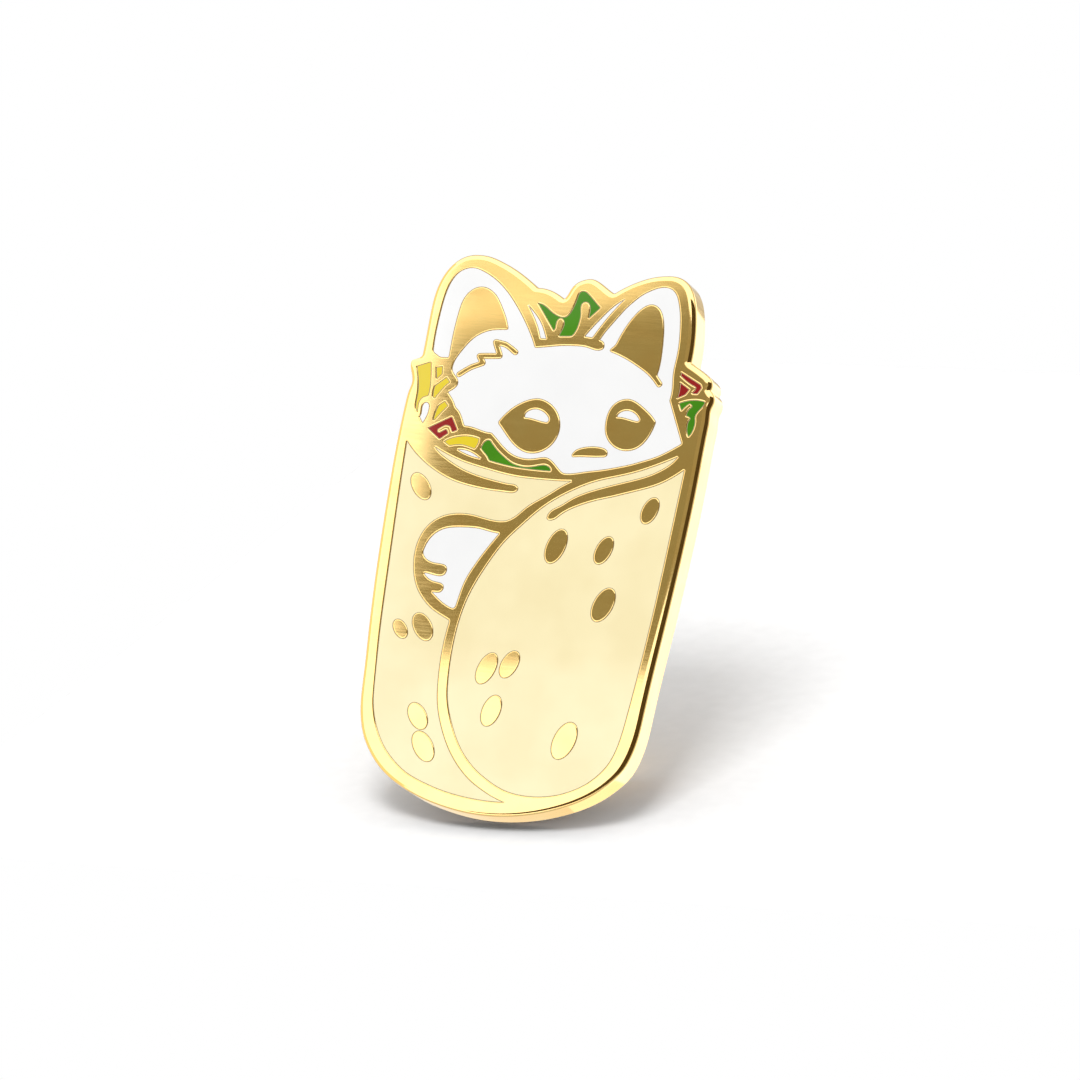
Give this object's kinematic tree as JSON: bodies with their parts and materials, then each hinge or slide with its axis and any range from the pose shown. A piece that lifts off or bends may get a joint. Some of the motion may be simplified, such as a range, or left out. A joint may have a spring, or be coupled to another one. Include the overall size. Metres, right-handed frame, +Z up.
{
  "type": "enamel pin",
  "caption": "Gold-plated hard-enamel lapel pin: a cartoon cat in a filled wrap, on back posts with sliding butterfly clutches.",
  "frame": {"origin": "on the flat back face of the plate, near its middle", "axes": "+X to the viewer's right across the art, +Y out of the back face along the posts, +Z up through the ears"},
  "size_m": [0.0216, 0.0102, 0.0373],
  "materials": {
    "gold_plate": "polished gold plating",
    "clutch_brass": "bright stamped sheet",
    "white_enamel": "polished",
    "cream_enamel": "polished",
    "yellow_enamel": "polished",
    "green_enamel": "polished",
    "red_enamel": "polished"
  },
  "bodies": {
    "pin": {"backplate": "gold_plate", "head_enamel": "white_enamel", "left_glint_enamel": "white_enamel", "right_glint_enamel": "white_enamel", "paw_enamel": "white_enamel", "left_wrap_enamel": "cream_enamel", "right_wrap_enamel": "cream_enamel", "top_lettuce_enamel": "green_enamel", "lower_lettuce_enamel": "green_enamel", "right_lettuce_enamel": "green_enamel", "left_tomato_enamel": "red_enamel", "right_tomato_upper_enamel": "red_enamel", "right_tomato_lower_enamel": "red_enamel", "cheese_strip_enamel": "yellow_enamel", "cheese_square_enamel": "yellow_enamel", "cheese_upper_chunk_enamel": "yellow_enamel", "cheese_lower_chunk_enamel": "yellow_enamel", "cheese_arc_enamel": "yellow_enamel", "onion_oval_enamel": "white_enamel", "onion_top_left_enamel": "white_enamel", "onion_top_right_enamel": "white_enamel", "onion_lower_enamel": "white_enamel", "upper_post": "gold_plate", "lower_post": "gold_plate"},
    "upper_clutch": {"upper_clutch_cup": "clutch_brass", "upper_clutch_bridge": "clutch_brass"},
    "upper_left_wing": {"upper_clutch_left_wing": "clutch_brass"},
    "upper_right_wing": {"upper_clutch_right_wing": "clutch_brass"},
    "lower_clutch": {"lower_clutch_cup": "clutch_brass", "lower_clutch_bridge": "clutch_brass"},
    "lower_left_wing": {"lower_clutch_left_wing": "clutch_brass"},
    "lower_right_wing": {"lower_clutch_right_wing": "clutch_brass"}
  },
  "joints": [
    {"name": "upper_clutch_slide", "type": "slide", "parent": "pin", "child": "upper_clutch", "axis": [0, 1, 0], "range_m": [-0.0015, 0.012]},
    {"name": "upper_left_wing_hinge", "type": "hinge", "parent": "upper_clutch", "child": "upper_left_wing", "pos_m": [-0.00355, 0.00455, 0.008], "axis": [0, 0, 1], "range_deg": [-9, 0], "stiffness_Nm_per_rad": 0.0005, "springref_deg": 2.86},
    {"name": "upper_right_wing_hinge", "type": "hinge", "parent": "upper_clutch", "child": "upper_right_wing", "pos_m": [0.00195, 0.00455, 0.008], "axis": [0, 0, 1], "range_deg": [0, 9], "stiffness_Nm_per_rad": 0.0005, "springref_deg": -2.86},
    {"name": "lower_clutch_slide", "type": "slide", "parent": "pin", "child": "lower_clutch", "axis": [0, 1, 0], "range_m": [-0.0015, 0.012]},
    {"name": "lower_left_wing_hinge", "type": "hinge", "parent": "lower_clutch", "child": "lower_left_wing", "pos_m": [-0.00355, 0.00455, -0.01], "axis": [0, 0, 1], "range_deg": [-9, 0], "stiffness_Nm_per_rad": 0.0005, "springref_deg": 2.86},
    {"name": "lower_right_wing_hinge", "type": "hinge", "parent": "lower_clutch", "child": "lower_right_wing", "pos_m": [0.00195, 0.00455, -0.01], "axis": [0, 0, 1], "range_deg": [0, 9], "stiffness_Nm_per_rad": 0.0005, "springref_deg": -2.86}
  ],
  "couplings": [
    {"joint": "upper_left_wing_hinge", "follows": "upper_right_wing_hinge", "ratio": -1},
    {"joint": "lower_left_wing_hinge", "follows": "lower_right_wing_hinge", "ratio": -1}
  ]
}
